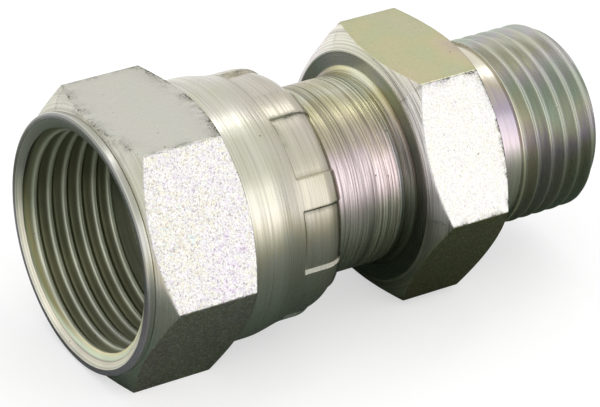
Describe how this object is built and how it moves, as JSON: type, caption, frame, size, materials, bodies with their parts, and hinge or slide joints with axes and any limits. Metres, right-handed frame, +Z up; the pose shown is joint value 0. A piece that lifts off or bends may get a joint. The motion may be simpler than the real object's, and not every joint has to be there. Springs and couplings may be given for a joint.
{
  "type": "hydraulic adapter",
  "caption": "Straight hydraulic adapter: a hexagon body with a male parallel pipe thread stud and neck, and a crimped hexagon swivel nut with an inside thread for a flat-face seal.",
  "frame": {"origin": "centre of the flat sealing face inside the swivel nut, where the flow bore starts", "axes": "+X along the flow bore, out through the male stud; +Z up, square to the top flats of both hexagons"},
  "size_m": [0.06, 0.033, 0.0286],
  "materials": {
    "zinc_body": "zinc plated and passivated, turned",
    "zinc_nut": "zinc plated and passivated, turned"
  },
  "bodies": {
    "adapter": {"adapter_body": "zinc_body"},
    "nut": {"swivel_nut": "zinc_nut"}
  },
  "joints": [
    {"name": "nut_swivel", "type": "hinge", "parent": "adapter", "child": "nut", "pos_m": [0, 0, 0], "axis": [1, 0, 0], "continuous": true}
  ]
}
